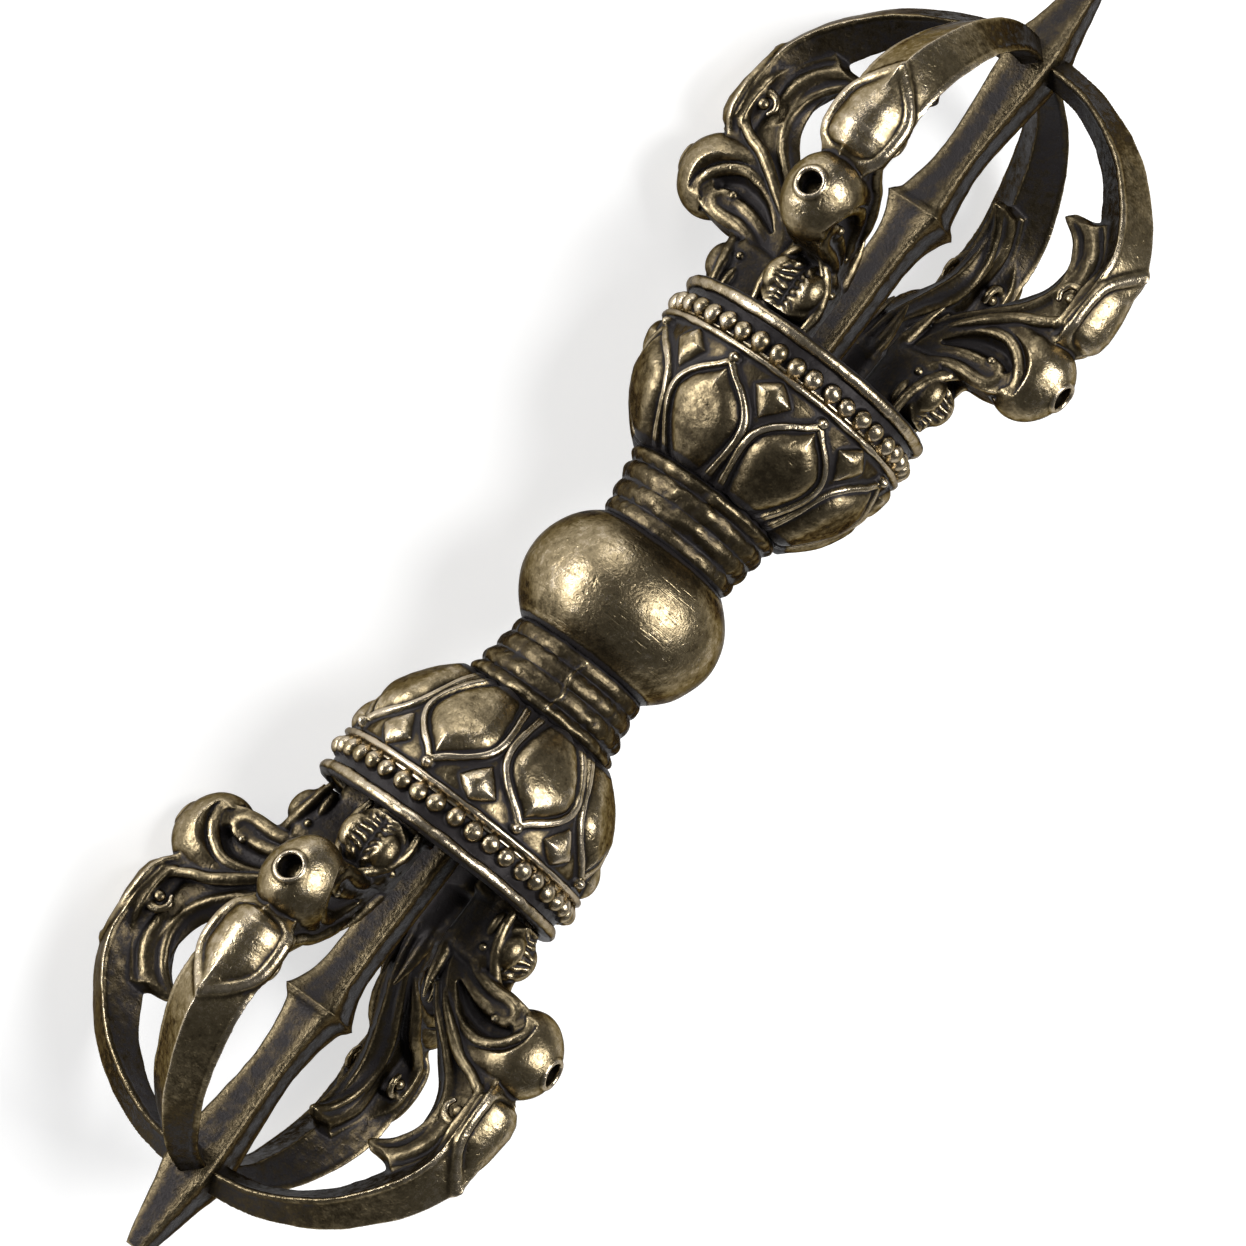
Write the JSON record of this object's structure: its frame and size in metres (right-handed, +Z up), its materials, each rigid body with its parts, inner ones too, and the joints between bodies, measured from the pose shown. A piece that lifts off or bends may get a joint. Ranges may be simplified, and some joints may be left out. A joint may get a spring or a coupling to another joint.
{
  "type": "vajra",
  "caption": "Hand-held ritual thunderbolt sceptre: a round grip between lotus cups, each bearing outer prongs that arch in to a central prong.",
  "frame": {"origin": "centre of the globe, midway between the two ends", "axes": "+X along the long axis towards the right end, +Z up with the sceptre lying on two prongs of each end"},
  "size_m": [0.105, 0.0248, 0.0248],
  "materials": {
    "worn_brass": "polished by wear, with brown patina in the hollows",
    "aged_brass": "satin, olive-brown patina with bright high points",
    "dark_brass": "grainy as cast, dark brown patina"
  },
  "bodies": {
    "root": {"globe": "worn_brass", "right_collar": "aged_brass", "right_lotus_cup": "aged_brass", "right_beaded_rim": "worn_brass", "right_prong_seat": "dark_brass", "right_centre_prong": "dark_brass", "right_outer_prong_1": "worn_brass", "right_outer_prong_2": "worn_brass", "right_outer_prong_3": "worn_brass", "right_outer_prong_4": "worn_brass", "left_collar": "aged_brass", "left_lotus_cup": "aged_brass", "left_beaded_rim": "worn_brass", "left_prong_seat": "dark_brass", "left_centre_prong": "dark_brass", "left_outer_prong_1": "worn_brass", "left_outer_prong_2": "worn_brass", "left_outer_prong_3": "worn_brass", "left_outer_prong_4": "worn_brass"}
  },
  "joints": []
}
